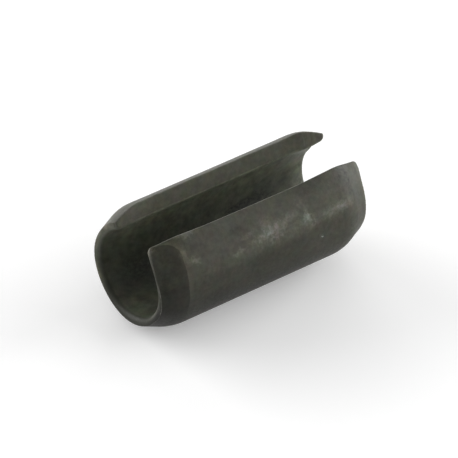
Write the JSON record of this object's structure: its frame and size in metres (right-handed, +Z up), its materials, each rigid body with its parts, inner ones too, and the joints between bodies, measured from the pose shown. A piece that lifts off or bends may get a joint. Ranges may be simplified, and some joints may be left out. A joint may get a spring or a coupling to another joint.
{
  "type": "slotted spring pin",
  "caption": "Slotted tube of dark spring steel with coned ends, lying on its side with its slot up. Driven into a hole, it closes a little and grips by spring force.",
  "frame": {"origin": "on the surface that the pin lies on, straight under the middle of its axis", "axes": "+X along the pin, +Z up through the middle of the slot"},
  "size_m": [0.022, 0.0106, 0.01],
  "materials": {
    "dark_spring_steel": "hardened and tempered spring steel, phosphated dark olive grey, tumbled matt with faint mottling and lighter worn edges"
  },
  "bodies": {
    "root": {"spring_pin": "dark_spring_steel"}
  },
  "joints": []
}
